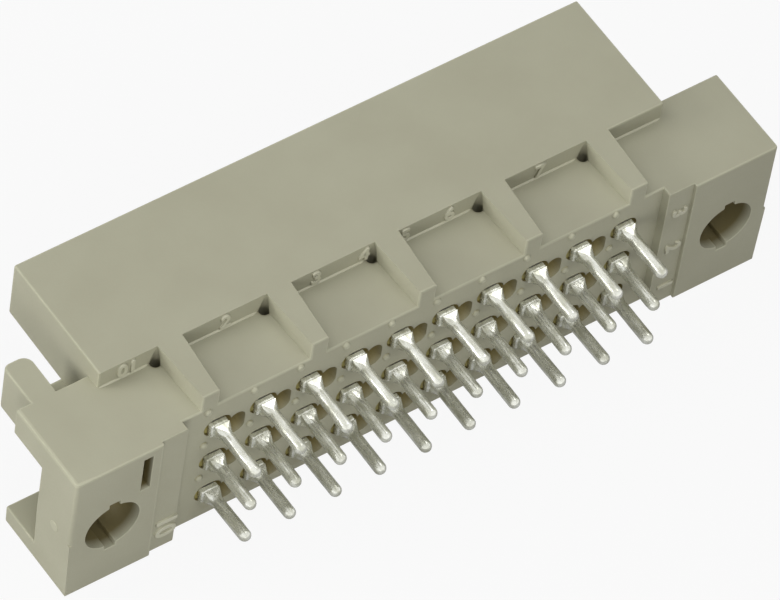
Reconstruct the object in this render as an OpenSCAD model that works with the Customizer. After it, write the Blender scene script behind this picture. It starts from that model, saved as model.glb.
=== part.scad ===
// Straight male board connector: a moulded housing that carries three rows of contacts.
// X runs along the rows, +Y is the way the mating half is pushed on, and Z is up.
// The origin is midway between the fixing holes, in the plane that rests on the board.
// The connector lies on its long side, with its solder pins pointing towards -Y.

/* [Contacts] */
// Number of contact columns
columns = 10; // [6:1:16]
// Distance between neighbouring contacts, along and across the rows
pitch = 2.54; // [2.5:0.01:2.6]
// Height of the middle row above the line of the fixing holes
middle_row_z = 0.4; // [0.2:0.1:0.6]
// Diameter of a round solder pin
pin_d = 0.63; // [0.5:0.01:0.68]
// Reach of the solder pins behind the board plane
pin_reach = 2.63; // [2:0.01:4.5]
// Thickness of the stamped contacts, and width of their blades
blade_t = 0.6; // [0.5:0.05:0.65]
// Where the blade tips end in front of the board plane
blade_end_y = 10.1; // [8:0.1:10.6]

/* [Shroud] */
// From the board plane to the open mating end
mate_y = 11.35; // [10.8:0.05:13]
// Top of the shroud above the line of the fixing holes
body_top = 5.65; // [5.4:0.05:6.2]
// Underside of the whole housing below that line
body_bottom = 4.1; // [3.9:0.05:4.6]
// From the outermost contact column to the shroud's outer end face
body_margin = 4.42; // [4.2:0.02:4.8]
// Thickness of the shroud's walls
wall_t = 0.75; // [0.6:0.05:0.9]
// Width of the lead-in round the cavity's mouth
lead_in = 0.3; // [0.1:0.05:0.4]
// Where the floor of the cavity lies
cavity_floor_y = 5.2; // [5.1:0.05:5.6]
// Height at which the shroud steps in to its narrower lower half
step_z = 2.12; // [1.8:0.02:2.4]
// How far the lower half is stepped in at each end
step_in = 0.95; // [0.8:0.05:1.2]
// Width of the polarising chamfer at each lower corner
chamfer_x = 2.35; // [1.5:0.05:2.5]
// Height of that chamfer
chamfer_z = 4.6; // [4:0.1:5]

/* [Rear side] */
// Rear face of the field of pins, in front of the board plane
pin_face_y = 0.7; // [0.5:0.05:1]
// Rear face of the upright strips beside the field
strip_face_y = 0.2; // [0.1:0.05:0.4]
// From the outermost contact column to the inner edge of a strip
strip_margin = 2.07; // [1.8:0.01:2.4]
// From the outermost contact column to the inner edge of an end block
block_margin = 3.5; // [3.2:0.05:3.8]
// Level of the pocket floors, which is also the top of the flanges
floor_z = 4.56; // [4.4:0.02:4.8]
// Front wall of the pockets
pocket_wall_y = 4.2; // [3.8:0.05:4.6]
// Number of ribs between the pockets
rib_count = 5; // [3:1:7]
// Width of a rib where it meets the pocket wall
rib_root_w = 1.35; // [1:0.05:1.6]
// Width of a rib at its rear end
rib_end_w = 0.95; // [0.6:0.05:1.2]
// From the shroud's end face to the middle of the first rib
first_rib_in = 3.85; // [3.4:0.05:4.4]

/* [Flanges] */
// From the outermost contact column to the end of a flange
flange_margin = 8.27; // [8:0.01:9]
// From the outermost contact column to a fixing hole
hole_margin = 5.92; // [5.8:0.01:6.4]
// Diameter of a fixing hole
hole_d = 2.95; // [2.7:0.05:3.1]
// Width of the crush notch above and below each hole
notch_w = 0.58; // [0.4:0.02:0.8]
// End-to-end height of that notch
notch_h = 3.45; // [3.3:0.05:4]
// Depth of a flange from the board plane to its front
flange_y = 5.05; // [4.6:0.05:5.4]
// Thickness of the web that a screw clamps
web_t = 2.75; // [2:0.05:3]
// Underside of the upper arm of the nut channel
channel_top = 2.8; // [2.6:0.02:3]
// Top of the lower arm of the nut channel, below the hole line
channel_bottom = 2.97; // [2.7:0.01:3.1]
// Height of the mould's parting line
parting_z = -0.1; // [-0.5:0.1:0.5]
// How far a flange's end face leans in from the parting line to the underside
flange_draft = 0.1; // [0.02:0.01:0.2]
// Radius of a flange's upright outer edge above the parting line
corner_r = 0.2; // [0.1:0.05:0.3]

/* [Coding marks on one flange] */
// Width of the lug that points along the mating direction
lug_w = 1.4; // [1:0.05:1.6]
// From the flange's end face to the lug
lug_in = 0.77; // [0.5:0.01:1]
// How far the lug reaches past the flange
lug_reach = 2.38; // [1.5:0.02:3]
// Height of the lug
lug_h = 2.86; // [2:0.02:3]
// Width of the slit beside the fixing hole
slit_w = 0.5; // [0.3:0.05:0.7]
// Height of that slit
slit_h = 2.35; // [1.5:0.05:2.8]

/* [Hidden] */
// Fineness of all round shapes
$fn = 48;
// Overlap that lets a cut pass clear of a face
cut = 0.05;

// Widths worked out from the field of contacts
half_field = (columns - 1) * pitch / 2;
half_body = half_field + body_margin;
half_flange = half_field + flange_margin;
block_x = half_field + block_margin;
strip_x = half_field + strip_margin;
hole_x = half_field + hole_margin;
rib_pitch = 2 * (half_body - first_rib_in) / (rib_count - 1);

// The contact: a shoulder bar, a neck, a press-fit part and a blade, stamped in one
pin_r = pin_d / 2;
bar_left = -0.68;
bar_right = 0.38;
bar_under = 0.38;
bar_over = 0.32;
bar_face_y = 0.4;
bar_back_y = 0.72;
neck_w = 0.6;
press_w = 0.9;
press_end_y = 3;
root_r = 0.4;
root_end_y = -0.05;
tip_len = 0.8;
tip_w = 0.24;

// The openings in the field of pins
recess_w = 1.5;
recess_h = 1.1;
recess_drop = 0.08;
recess_floor_y = 1.45;
hollow_w = 0.92;
hollow_h = 1.45;
hollow_x = 1.1;
hollow_drop = 0.58;
hollow_floor_y = 2.1;

// The dark relief in each pocket's inner corner, round in the floor and tapering up the corner
relief_r = 0.3;
relief_tip_r = 0.05;
relief_in = 0.08;
relief_depth = 0.9;

// The coding lug's corner radii, and the web that ties it to the shroud
lug_inner_r = 0.55;
lug_outer_r = 0.35;
lug_web_h = 0.7;
lug_web_reach = 1.85;
slit_from_hole = 1.37;
slit_top_z = 4.05;
slit_depth = 1.2;

row_letters = ["a", "b", "c"];

function row_z(row) = middle_row_z + (row - 1) * pitch;
function rib_x(i) = first_rib_in - half_body + i * rib_pitch;
function column_x(column) = column * pitch - half_field;
function contact_name(row, column) =
    str("contact_", row_letters[row], column < 9 ? "0" : "", column + 1);

// Extrudes an outline drawn in X and Z from y0 to y1
module along_y(y0, y1) {
    translate([0, y1, 0])
        rotate([90, 0, 0])
            linear_extrude(y1 - y0)
                children();
}

// A slot outline with two round ends, lying or standing by its longer side
module rounded_slot(w, h) {
    r = min(w, h) / 2;
    dx = w / 2 - r;
    dz = h / 2 - r;
    square([w > h ? w - 2 * r : w, h > w ? h - 2 * r : h], center = true);
    for (end = [-1, 1])
        translate([end * dx, end * dz])
            circle(r);
}

// Corners of the shroud's outline, or of the cavity's when it is inset by the wall
function shroud_points(inset) =
    let (
        chamfer_len = sqrt(chamfer_x * chamfer_x + chamfer_z * chamfer_z),
        side = half_body - inset,
        low_side = half_body - step_in - inset,
        top = body_top - inset,
        ledge = step_z + inset,
        bottom = inset - body_bottom,
        knee = chamfer_z - body_bottom + inset * (chamfer_len - chamfer_z) / chamfer_x,
        toe = half_body - step_in - chamfer_x - inset * (chamfer_len - chamfer_x) / chamfer_z,
        right = [[toe, bottom], [low_side, knee], [low_side, ledge], [side, ledge], [side, top]],
        left = [for (i = [len(right) - 1:-1:0]) [-right[i][0], right[i][1]]]
    )
    concat(right, left);

// The solid slab that holds the contacts, with the upright strips at its ends
module rear_slab() {
    height = floor_z + body_bottom;
    translate([-half_body, pin_face_y, -body_bottom])
        cube([2 * half_body, flange_y - pin_face_y, height]);
    for (side = [-1, 1])
        translate([side > 0 ? strip_x : -half_body, strip_face_y, -body_bottom])
            cube([half_body - strip_x, flange_y - strip_face_y, height]);
}

// One rib between two pockets, narrower towards its rear end
module rib(x) {
    translate([x, 0, floor_z - cut])
        linear_extrude(body_top - floor_z + cut)
            polygon([
                [-rib_end_w / 2, pin_face_y],
                [rib_end_w / 2, pin_face_y],
                [rib_root_w / 2, pocket_wall_y + cut],
                [-rib_root_w / 2, pocket_wall_y + cut]
            ]);
}

// The relief in the corner between the pocket wall and the left side of the rib at x
module corner_relief(x) {
    translate([x - rib_root_w / 2 - relief_in, pocket_wall_y - relief_in, floor_z]) {
        translate([0, 0, -relief_depth])
            cylinder(h = relief_depth + cut, r = relief_r);
        cylinder(h = body_top - floor_z, r1 = relief_r, r2 = relief_tip_r);
    }
}

// Outline of the right-hand end block in X and Z, drafted below the parting line
module block_outline() {
    polygon([
        [block_x, -body_bottom],
        [half_flange - flange_draft, -body_bottom],
        [half_flange, parting_z],
        [half_flange, floor_z],
        [block_x, floor_z]
    ]);
}

// What the mould's upper half rounds off the block's upright outer edge
module corner_waste() {
    translate([half_flange - corner_r, corner_r, parting_z])
        linear_extrude(floor_z - parting_z + cut)
            difference() {
                translate([0, -corner_r - cut])
                    square(corner_r + cut);
                circle(corner_r);
            }
}

// One end block: a web with the fixing hole, and two arms round the nut
module end_block(side) {
    mirror([side < 0 ? 1 : 0, 0, 0])
        difference() {
            along_y(0, flange_y)
                block_outline();
            corner_waste();
            translate([half_body, web_t, -channel_bottom])
                cube([half_flange, flange_y, channel_top + channel_bottom]);
        }
}

// The hole through a flange's web, with its two crush notches
module fixing_hole(x) {
    translate([x, web_t + cut, 0])
        rotate([90, 0, 0])
            cylinder(h = web_t + 2 * cut, d = hole_d);
    translate([x - notch_w / 2, -cut, -notch_h / 2])
        cube([notch_w, web_t + 2 * cut, notch_h]);
}

// The coding lug on the left flange, rounded at its tip
module coding_lug() {
    x0 = lug_in - half_flange;
    x1 = x0 + lug_w;
    tip = flange_y + lug_reach;
    translate([0, 0, floor_z - lug_h])
        linear_extrude(lug_h) {
            translate([x0, flange_y - cut])
                square([lug_w, lug_reach + cut - lug_inner_r]);
            translate([x0 + lug_outer_r, tip - lug_inner_r - cut])
                square([lug_w - lug_inner_r - lug_outer_r, lug_inner_r + cut]);
            translate([x0, tip - lug_inner_r - cut])
                square([lug_w - lug_inner_r, lug_inner_r + cut - lug_outer_r]);
            translate([x1 - lug_inner_r, tip - lug_inner_r])
                circle(lug_inner_r);
            translate([x0 + lug_outer_r, tip - lug_outer_r])
                circle(lug_outer_r);
        }
    translate([x0 + lug_w / 2, flange_y, step_z - lug_web_h])
        cube([half_flange - half_body + step_in - lug_in - lug_w / 2 + cut, lug_web_reach, lug_web_h]);
}

// The sloping cut that widens the cavity at its mouth
module mouth_lead_in() {
    inner = shroud_points(wall_t);
    outer = shroud_points(wall_t - lead_in - cut);
    count = len(inner);
    polyhedron(
        points = concat(
            [for (p = inner) [p[0], mate_y - lead_in, p[1]]],
            [for (p = outer) [p[0], mate_y + cut, p[1]]]
        ),
        faces = concat(
            [[for (i = [count - 1:-1:0]) i]],
            [[for (i = [0:count - 1]) count + i]],
            [for (i = [0:count - 1])
                [i, (i + 1) % count, count + (i + 1) % count, count + i]]
        )
    );
}

// The openings that one contact sits in, from the rear face to the cavity
module contact_seat(row, column) {
    x = column_x(column);
    z = row_z(row);
    along_y(pin_face_y - cut, recess_floor_y)
        translate([x, z - recess_drop])
            rounded_slot(recess_w, recess_h);
    translate([x - press_w / 2, recess_floor_y - cut, z - blade_t / 2])
        cube([press_w, press_end_y - recess_floor_y + cut, blade_t]);
    translate([x - blade_t / 2, press_end_y - cut, z - blade_t / 2])
        cube([blade_t, cavity_floor_y - press_end_y + 2 * cut, blade_t]);
}

// The blind hollow between one contact and the next in its row
module core_hollow(row, column) {
    along_y(pin_face_y - cut, hollow_floor_y)
        translate([column_x(column) + hollow_x, row_z(row) - hollow_drop])
            rounded_slot(hollow_w, hollow_h);
}

// The whole moulding
module housing() {
    color("#a8a68f")
        difference() {
            union() {
                rear_slab();
                along_y(pocket_wall_y, mate_y)
                    polygon(shroud_points(0));
                for (i = [0:rib_count - 1])
                    rib(rib_x(i));
                for (side = [-1, 1])
                    end_block(side);
                coding_lug();
            }
            along_y(cavity_floor_y, mate_y + cut)
                polygon(shroud_points(wall_t));
            mouth_lead_in();
            for (i = [0:rib_count - 1])
                corner_relief(rib_x(i));
            for (row = [0:2]) {
                for (column = [0:columns - 1])
                    contact_seat(row, column);
                for (column = [0:columns - 2])
                    core_hollow(row, column);
            }
            for (side = [-1, 1])
                fixing_hole(side * hole_x);
            translate([slit_from_hole - hole_x, -cut, slit_top_z - slit_h])
                cube([slit_w, slit_depth + cut, slit_h]);
        }
}

// Plan of the stamped part of a contact, in X and Y
module contact_plan() {
    polygon([
        [-neck_w / 2, bar_back_y - cut],
        [neck_w / 2, bar_back_y - cut],
        [neck_w / 2, recess_floor_y],
        [press_w / 2, recess_floor_y],
        [press_w / 2, press_end_y],
        [blade_t / 2, press_end_y],
        [blade_t / 2, blade_end_y - tip_len],
        [tip_w / 2, blade_end_y],
        [-tip_w / 2, blade_end_y],
        [-blade_t / 2, blade_end_y - tip_len],
        [-blade_t / 2, press_end_y],
        [-press_w / 2, press_end_y],
        [-press_w / 2, recess_floor_y],
        [-neck_w / 2, recess_floor_y]
    ]);
}

// Side view of the stamped part, in Y and Z: even, with a tapered tip
module contact_side() {
    polygon([
        [bar_face_y, -blade_t / 2],
        [blade_end_y - tip_len, -blade_t / 2],
        [blade_end_y, -tip_w / 2],
        [blade_end_y, tip_w / 2],
        [blade_end_y - tip_len, blade_t / 2],
        [bar_face_y, blade_t / 2]
    ]);
}

// One contact, from the round solder pin to the tip of the blade
module contact() {
    color("#c9cac4") {
        intersection() {
            translate([0, 0, -blade_t])
                linear_extrude(2 * blade_t)
                    contact_plan();
            translate([-press_w, 0, 0])
                rotate([90, 0, 90])
                    linear_extrude(2 * press_w)
                        contact_side();
        }
        translate([bar_left, bar_face_y, -bar_under])
            cube([bar_right - bar_left, bar_back_y - bar_face_y, bar_under + bar_over]);
        translate([0, bar_face_y + cut, 0])
            rotate([90, 0, 0])
                cylinder(h = pin_reach - pin_r + bar_face_y + cut, r = pin_r);
        translate([0, bar_face_y + cut, 0])
            rotate([90, 0, 0])
                cylinder(h = bar_face_y + cut - root_end_y, r1 = root_r, r2 = pin_r);
        translate([0, pin_r - pin_reach, 0])
            sphere(pin_r);
    }
}

housing();
for (row = [0:2])
    for (column = [0:columns - 1])
        translate([column_x(column), 0, row_z(row)])
                contact();
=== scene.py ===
# %% [markdown]
# A straight male board connector, lying on its long side
#
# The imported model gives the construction: one moulded housing and thirty contacts. This script
# gives them their looks. It rounds the moulding's edges, adds the raised marks that are too fine
# for the construction, puts a coat of tin on the contacts, and sets the light and the camera.
# The scene is in metres, in the frame of the model: X along the rows of contacts, +Y out of the
# open shroud, +Z up. The sizes of pieces are written in millimetres, and MM turns them into metres.

# %% Load the frame
import math
import random

import bmesh
import bpy
from mathutils import Matrix, Vector


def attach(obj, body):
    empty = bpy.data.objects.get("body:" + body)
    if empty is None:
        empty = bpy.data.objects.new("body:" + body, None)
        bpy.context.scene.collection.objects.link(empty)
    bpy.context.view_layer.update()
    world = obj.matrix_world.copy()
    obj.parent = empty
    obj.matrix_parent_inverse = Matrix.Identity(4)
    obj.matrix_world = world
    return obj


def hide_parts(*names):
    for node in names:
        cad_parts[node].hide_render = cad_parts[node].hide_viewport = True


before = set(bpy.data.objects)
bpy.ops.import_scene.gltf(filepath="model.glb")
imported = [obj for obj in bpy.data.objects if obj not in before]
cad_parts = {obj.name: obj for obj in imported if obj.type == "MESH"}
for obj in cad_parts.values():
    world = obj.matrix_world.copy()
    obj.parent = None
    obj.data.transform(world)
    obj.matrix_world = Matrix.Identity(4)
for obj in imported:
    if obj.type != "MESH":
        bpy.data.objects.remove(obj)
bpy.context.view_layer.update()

MM = 0.001

# %% [markdown]
# The dimensions that the finish needs
#
# These repeat the construction's dimensions, in millimetres. The contacts stand on a grid of 2.54 mm,
# and everything raised on the housing is placed from that grid and from the housing's faces. The same
# numbers could be measured on the meshes, but a named number is easier to read and to change.
# MARGIN is the slack that a test by place is given.

# %% Dimensions
PITCH = 2.54
COLUMNS = 10
ROWS = "abc"
MIDDLE_ROW_Z = 0.4
PIN_FACE_Y = 0.7
STRIP_FACE_Y = 0.2
POCKET_WALL_Y = 4.2
POCKET_FLOOR_Z = 4.56
BODY_X = 15.85
BODY_TOP = 5.65
BODY_BOTTOM = -4.1
STRIP_X = 13.5
BLOCK_X = 14.93
FLANGE_END_X = 19.7
HOLE_X = 17.35
HOLE_R = 1.475
WEB_FRONT_Y = 2.75
SLIT_X = -15.73
RIB_PITCH = 6.0
RIB_XS = [RIB_PITCH * step for step in range(-2, 3)]
RIB_ROOT_HALF = 0.675
MARGIN = 0.05


def column_x(column):
    """Centre of a contact column, counted from 0 at the flange with the lug."""
    return (column - (COLUMNS - 1) / 2) * PITCH


def row_z(row):
    """Height of a contact row, counted from 0 at the side that the connector lies on."""
    return MIDDLE_ROW_Z + (row - 1) * PITCH


print("columns from", column_x(0), "to", column_x(COLUMNS - 1), "ribs at", RIB_XS)

# %% [markdown]
# The surroundings
#
# The connector lies on a white table under soft studio lamps. A picture of a studio could light it
# all, but lamps are easier to aim at one face after the other, so the world adds only a little grey.
# What a camera ray meets behind the table is plain white.

# %% World
WORLD_AMBIENT = 0.2
world = bpy.data.worlds.new("studio")
bpy.context.scene.world = world
world.use_nodes = True
world_nodes, world_links = world.node_tree.nodes, world.node_tree.links


def math_node(nodes, links, operation, first, second=None, clamp=False):
    """One Math node, fed by sockets or numbers, and its output."""
    made = nodes.new("ShaderNodeMath")
    made.operation = operation
    made.use_clamp = clamp
    for slot, value in enumerate(v for v in (first, second) if v is not None):
        if isinstance(value, (int, float)):
            made.inputs[slot].default_value = value
        else:
            links.new(value, made.inputs[slot])
    return made.outputs[0]


def world_background(strength):
    """A white Background node of the given strength."""
    made = world_nodes.new("ShaderNodeBackground")
    made.inputs["Color"].default_value = (1.0, 1.0, 1.0, 1.0)
    made.inputs["Strength"].default_value = strength
    return made


def world_mix(factor, low, high):
    """Mixes two world shaders by a socket."""
    made = world_nodes.new("ShaderNodeMixShader")
    world_links.new(factor, made.inputs["Fac"])
    world_links.new(low.outputs[0], made.inputs[1])
    world_links.new(high.outputs[0], made.inputs[2])
    return made


print("world ambient", WORLD_AMBIENT)

# %% [markdown]
# What the tin mirrors
#
# Round metal shows its surroundings more than its own colour. Mirror-like rays don't see the lamps
# here. They see a tent, bright at the horizon and greyer overhead, with three soft panels: one on the
# left, which draws the line along each pin, one high up, which flashes in the flat places at the
# pins' roots, and a dark one on the right. Real white boards would do the same, but a panel in the
# world needs no mesh.

# %% Tent
HORIZON_LEVEL, ZENITH_LEVEL = 1.2, 0.85
TENT_PANELS = (
    ((-0.78, 0.45, 0.40), 0.974, 3.8),
    ((0.41, 0.12, 0.90), 0.974, 2.9),
    ((0.9, 0.4, 0.1), 0.75, -0.75),
)
ray_direction = world_nodes.new("ShaderNodeTexCoord")
split = world_nodes.new("ShaderNodeSeparateXYZ")
height_to_level = world_nodes.new("ShaderNodeMapRange")
height_to_level.inputs["To Min"].default_value = HORIZON_LEVEL
height_to_level.inputs["To Max"].default_value = ZENITH_LEVEL
world_links.new(ray_direction.outputs["Generated"], split.inputs[0])
world_links.new(split.outputs["Z"], height_to_level.inputs["Value"])


def panel_level(towards, edge_cosine, level):
    """How much one soft panel adds in each direction."""
    aligned = world_nodes.new("ShaderNodeVectorMath")
    aligned.operation = "DOT_PRODUCT"
    aligned.inputs[1].default_value = Vector(towards).normalized()
    panel = world_nodes.new("ShaderNodeMapRange")
    panel.interpolation_type = "SMOOTHSTEP"
    panel.inputs["From Min"].default_value = edge_cosine
    panel.inputs["To Max"].default_value = level
    world_links.new(ray_direction.outputs["Generated"], aligned.inputs[0])
    world_links.new(aligned.outputs["Value"], panel.inputs["Value"])
    return panel.outputs["Result"]


tent_level = height_to_level.outputs["Result"]
for tent_panel in TENT_PANELS:
    tent_level = math_node(world_nodes, world_links, "ADD", tent_level, panel_level(*tent_panel))
mirrored = world_background(1.0)
world_links.new(tent_level, mirrored.inputs["Strength"])
print("panels in the tent", len(TENT_PANELS))

# %% Which ray sees what
world_ray = world_nodes.new("ShaderNodeLightPath")
seen_by_gloss = world_mix(
    world_ray.outputs["Is Glossy Ray"], world_background(WORLD_AMBIENT), mirrored)
seen_by_camera = world_mix(
    world_ray.outputs["Is Camera Ray"], seen_by_gloss, world_background(1.0))
seen_through = world_mix(
    world_ray.outputs["Is Transmission Ray"], seen_by_camera, world_background(1.0))
world_links.new(seen_through.outputs[0], world_nodes["World Output"].inputs["Surface"])
print("world nodes", len(world_nodes))

# %% [markdown]
# The lamps
#
# Each lamp is a square soft box, aimed at the connector. A wide key light stands above it on the left,
# on the open shroud's side, and gives the short shadows under the pocket walls. A second one hangs
# above the soldering side, a low one stands on the left, and a small near one lifts the left half of
# the soldering side. A lamp's power in watts says little about the picture. So each is given the
# brightness of a white face turned to it, and its power follows from its distance.

# %% Lamps
LAMP_DISTANCE = 0.35
NEAR_LAMP_DISTANCE = 0.12


def soft_box(name, direction, side, level, distance=LAMP_DISTANCE):
    """A square area lamp that gives a white face turned to it the brightness level."""
    towards = Vector(direction).normalized()
    lamp = bpy.data.lights.new(name, "AREA")
    lamp.shape = "SQUARE"
    lamp.size = side
    lamp.energy = (math.pi * distance) ** 2 * level
    obj = bpy.data.objects.new(name, lamp)
    obj.location = towards * distance
    obj.rotation_euler = towards.to_track_quat("Z", "Y").to_euler()
    obj.visible_camera = False
    obj.visible_glossy = False
    bpy.context.scene.collection.objects.link(obj)


soft_box("key_light", (-0.41, 0.32, 0.85), 0.26, 0.37)
soft_box("top_light", (0.0, -0.52, 0.85), 0.3, 0.5)
soft_box("left_light", (-0.8, 0.42, 0.26), 0.14, 0.54)
soft_box("near_light", (-0.65, -0.74, 0.16), 0.06, 0.36, NEAR_LAMP_DISTANCE)

# %% [markdown]
# The camera
#
# The photograph looks down on the soldering side from the left front, from far away, so the lens is
# long. A camera could be placed by its coordinates, but these would say nothing to a reader. Here its
# place follows from the point it looks at, its azimuth and elevation, its distance, and a small roll
# about its own axis.

# %% Camera
LOOK_AT = Vector((-2.924, 0.0, 7.528)) * MM
AZIMUTH, ELEVATION, ROLL = map(math.radians, (-42.292, 52.231, 9.915))
CAMERA_DISTANCE = 386.04 * MM
SENSOR_WIDTH, LENS = 36.0, 391.5
CLIP_NEAR, CLIP_FAR = 0.05, 5.0
back = Vector((
    math.sin(AZIMUTH) * math.cos(ELEVATION),
    -math.cos(AZIMUTH) * math.cos(ELEVATION),
    math.sin(ELEVATION),
))
level_right = Vector((math.cos(AZIMUTH), math.sin(AZIMUTH), 0.0))
level_up = back.cross(level_right)
right = math.cos(ROLL) * level_right + math.sin(ROLL) * level_up
up = math.cos(ROLL) * level_up - math.sin(ROLL) * level_right
camera_data = bpy.data.cameras.new("camera")
camera_data.sensor_width = SENSOR_WIDTH
camera_data.lens = LENS
camera_data.clip_start = CLIP_NEAR
camera_data.clip_end = CLIP_FAR
camera = bpy.data.objects.new("camera", camera_data)
turned = Matrix((right, up, back)).transposed().to_4x4()
camera.matrix_world = Matrix.Translation(LOOK_AT + back * CAMERA_DISTANCE) @ turned
bpy.context.scene.collection.objects.link(camera)
bpy.context.scene.camera = camera
bpy.context.scene.view_settings.view_transform = "Standard"
print("camera at", [round(v, 3) for v in camera.location])

# %% [markdown]
# Slow tone and fine grain
#
# Neither moulded plastic nor tin is quite even. `soft_mottle` is a shader group that gives a slow
# change of tone and a fine grain, as plain values, and each finish uses it with its own settings. An
# image could carry the same, but noise in space needs no unwrapping and runs on over every edge.

# %% Soft mottle
def new_group(name, inputs, outputs):
    """An empty shader group with number inputs and outputs."""
    group = bpy.data.node_groups.new(name, "ShaderNodeTree")
    for label, default in inputs.items():
        socket = group.interface.new_socket(label, in_out="INPUT", socket_type="NodeSocketFloat")
        socket.default_value = default
    for label in outputs:
        group.interface.new_socket(label, in_out="OUTPUT", socket_type="NodeSocketFloat")
    return group, group.nodes.new("NodeGroupInput"), group.nodes.new("NodeGroupOutput")


def make_soft_mottle():
    """Slow and fine noise on Object coordinates, each as one value around 0.5."""
    group, given, result = new_group(
        "soft_mottle",
        {"Patch size": 0.002, "Grain size": 0.0001, "Shorter along Y": 1.0},
        ("Tone", "Grain"),
    )
    nodes, links = group.nodes, group.links
    place = nodes.new("ShaderNodeTexCoord")
    stretch = nodes.new("ShaderNodeCombineXYZ")
    stretch.inputs["X"].default_value = 1.0
    stretch.inputs["Z"].default_value = 1.0
    links.new(given.outputs["Shorter along Y"], stretch.inputs["Y"])
    stretched = nodes.new("ShaderNodeVectorMath")
    stretched.operation = "MULTIPLY"
    links.new(place.outputs["Object"], stretched.inputs[0])
    links.new(stretch.outputs[0], stretched.inputs[1])
    for label, source, detail in (("Tone", "Patch size", 3.0), ("Grain", "Grain size", 2.0)):
        scale = math_node(nodes, links, "DIVIDE", 1.0, given.outputs[source])
        noise = nodes.new("ShaderNodeTexNoise")
        noise.inputs["Detail"].default_value = detail
        links.new(stretched.outputs[0], noise.inputs["Vector"])
        links.new(scale, noise.inputs["Scale"])
        links.new(noise.outputs["Fac"], result.inputs[label])
    return group


SOFT_MOTTLE = make_soft_mottle()
print("soft mottle nodes", len(SOFT_MOTTLE.nodes))

# %% [markdown]
# The depths of openings
#
# Light that goes into a narrow opening in this plastic comes out browner and darker, and here this
# is painted: the group below finds such depths from how much of the sky is hidden, and the plastic
# paints them a golden brown, as painted shade. Corners in the open hide some of it too, so it is
# used only where the next group finds a contact passage.

# %% Hollow mask
OPENNESS_SAMPLES = 8


def make_shade_depth_mask():
    """Where shade is painted: 1 deep inside narrow openings, 0 on open surfaces, from how much sky is
    hidden.
    """
    group, given, result = new_group(
        "shade_depth_mask", {"Reach": 0.0012, "Deep": 0.15, "Open": 0.55}, ("Mask",))
    nodes, links = group.nodes, group.links
    openness = nodes.new("ShaderNodeAmbientOcclusion")
    openness.samples = OPENNESS_SAMPLES
    links.new(given.outputs["Reach"], openness.inputs["Distance"])
    ramp = nodes.new("ShaderNodeMapRange")
    links.new(openness.outputs["AO"], ramp.inputs["Value"])
    links.new(given.outputs["Open"], ramp.inputs["From Min"])
    links.new(given.outputs["Deep"], ramp.inputs["From Max"])
    links.new(ramp.outputs["Result"], result.inputs["Mask"])
    return group


SHADE_DEPTH_MASK = make_shade_depth_mask()
print("hollow mask nodes", len(SHADE_DEPTH_MASK.nodes))

# %% [markdown]
# Where the openings are
#
# The fixing holes, the slit and the reliefs in the pockets' corners are painted a dark brown, and
# the contact passages a golden one, both as painted shade. Painting the mesh would do, but it would
# have to be done again whenever the mesh changes. The group below works these areas out from the
# place alone, in millimetres, as a distance to a hole's axis or as a box. The reliefs repeat with the
# ribs, and narrow upwards.

# %% Places of the openings
PASSAGE_TOP = 3.6
SLIT_LOW, SLIT_HIGH = 1.6, 4.2
PASSAGE_END_X, PASSAGE_END_Y = 12.4, 5.15
# These set where painted shade darkens the bores, the slit and the corner reliefs, and how much.
BORE_RIM = 0.3
BORE_FADE_Y = (0.1, 0.6)
BORE_SHADE = 0.95
SLIT_HALF = 0.3
SLIT_FADE_Y = (0.03, 0.3)
RELIEF_FROM_RIB = -0.755
RELIEF_Y = 4.12
RELIEF_REACH = 0.44
RELIEF_SOFT = 0.2
RELIEF_SHADE = 0.45
RELIEFS_END_X = 14.0
print("passages end", PASSAGE_END_X, "and reliefs", RELIEFS_END_X, "mm from the middle")

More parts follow.
